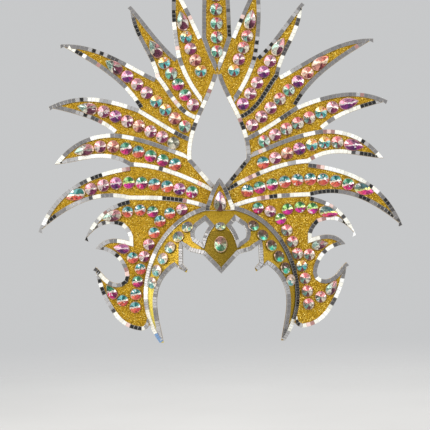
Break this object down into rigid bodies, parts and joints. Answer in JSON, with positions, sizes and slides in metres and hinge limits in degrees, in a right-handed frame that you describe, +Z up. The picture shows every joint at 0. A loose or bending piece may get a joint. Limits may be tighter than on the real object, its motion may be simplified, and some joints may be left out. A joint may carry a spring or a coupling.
{
  "type": "feather crown",
  "caption": "Showgirl crown: a fan of flat curved feather blades and hooked wings, edged with mirror tiles and set with rows of stones, on a curved head band.",
  "frame": {"origin": "midway between the two ends of the band, at the height of its ends, in the plane of the fan's front face", "axes": "+X to the crown's right as seen from the front, +Y to its back, +Z up"},
  "size_m": [0.444, 0.0512, 0.49],
  "materials": {
    "gold_glitter": "gold glitter sheet, dark plain back",
    "gold_foil": "smooth gold foil",
    "mirror_tile": "small square mirror tiles",
    "crystal": "foiled, iridescent cut stones",
    "band_crystal": "foiled, pale blue iridescent cut stones"
  },
  "bodies": {
    "root": {"band": "gold_foil", "band_inner_strip": "mirror_tile", "band_rim_strip": "mirror_tile", "band_stones_left": "band_crystal", "band_stones_right": "band_crystal", "feather_left_1": "gold_glitter", "feather_left_2": "gold_glitter", "feather_left_3": "gold_glitter", "feather_left_4": "gold_glitter", "feather_left_5": "gold_glitter", "feather_left_6": "gold_glitter", "feather_middle": "gold_glitter", "feather_right_1": "gold_glitter", "feather_right_2": "gold_glitter", "feather_right_3": "gold_glitter", "feather_right_4": "gold_glitter", "feather_right_5": "gold_glitter", "feather_right_6": "gold_glitter", "feather_stones_left_1": "crystal", "feather_stones_left_2": "crystal", "feather_stones_left_3": "crystal", "feather_stones_left_4": "crystal", "feather_stones_left_5": "crystal", "feather_stones_left_6": "crystal", "feather_stones_middle": "crystal", "feather_stones_right_1": "crystal", "feather_stones_right_2": "crystal", "feather_stones_right_3": "crystal", "feather_stones_right_4": "crystal", "feather_stones_right_5": "crystal", "feather_stones_right_6": "crystal", "feather_strip_left_1": "mirror_tile", "feather_strip_left_2": "mirror_tile", "feather_strip_left_3": "mirror_tile", "feather_strip_left_4": "mirror_tile", "feather_strip_left_5": "mirror_tile", "feather_strip_left_6": "mirror_tile", "feather_strip_middle": "mirror_tile", "feather_strip_right_1": "mirror_tile", "feather_strip_right_2": "mirror_tile", "feather_strip_right_3": "mirror_tile", "feather_strip_right_4": "mirror_tile", "feather_strip_right_5": "mirror_tile", "feather_strip_right_6": "mirror_tile", "oval_stone": "band_crystal", "spire": "gold_glitter", "spire_stone": "crystal", "spire_strip": "mirror_tile", "teardrop_strip": "mirror_tile", "top_stone": "band_crystal", "wing_left": "gold_glitter", "wing_right": "gold_glitter", "wing_stones_left": "crystal", "wing_stones_right": "crystal", "wing_strip_left": "mirror_tile", "wing_strip_right": "mirror_tile"}
  },
  "joints": []
}
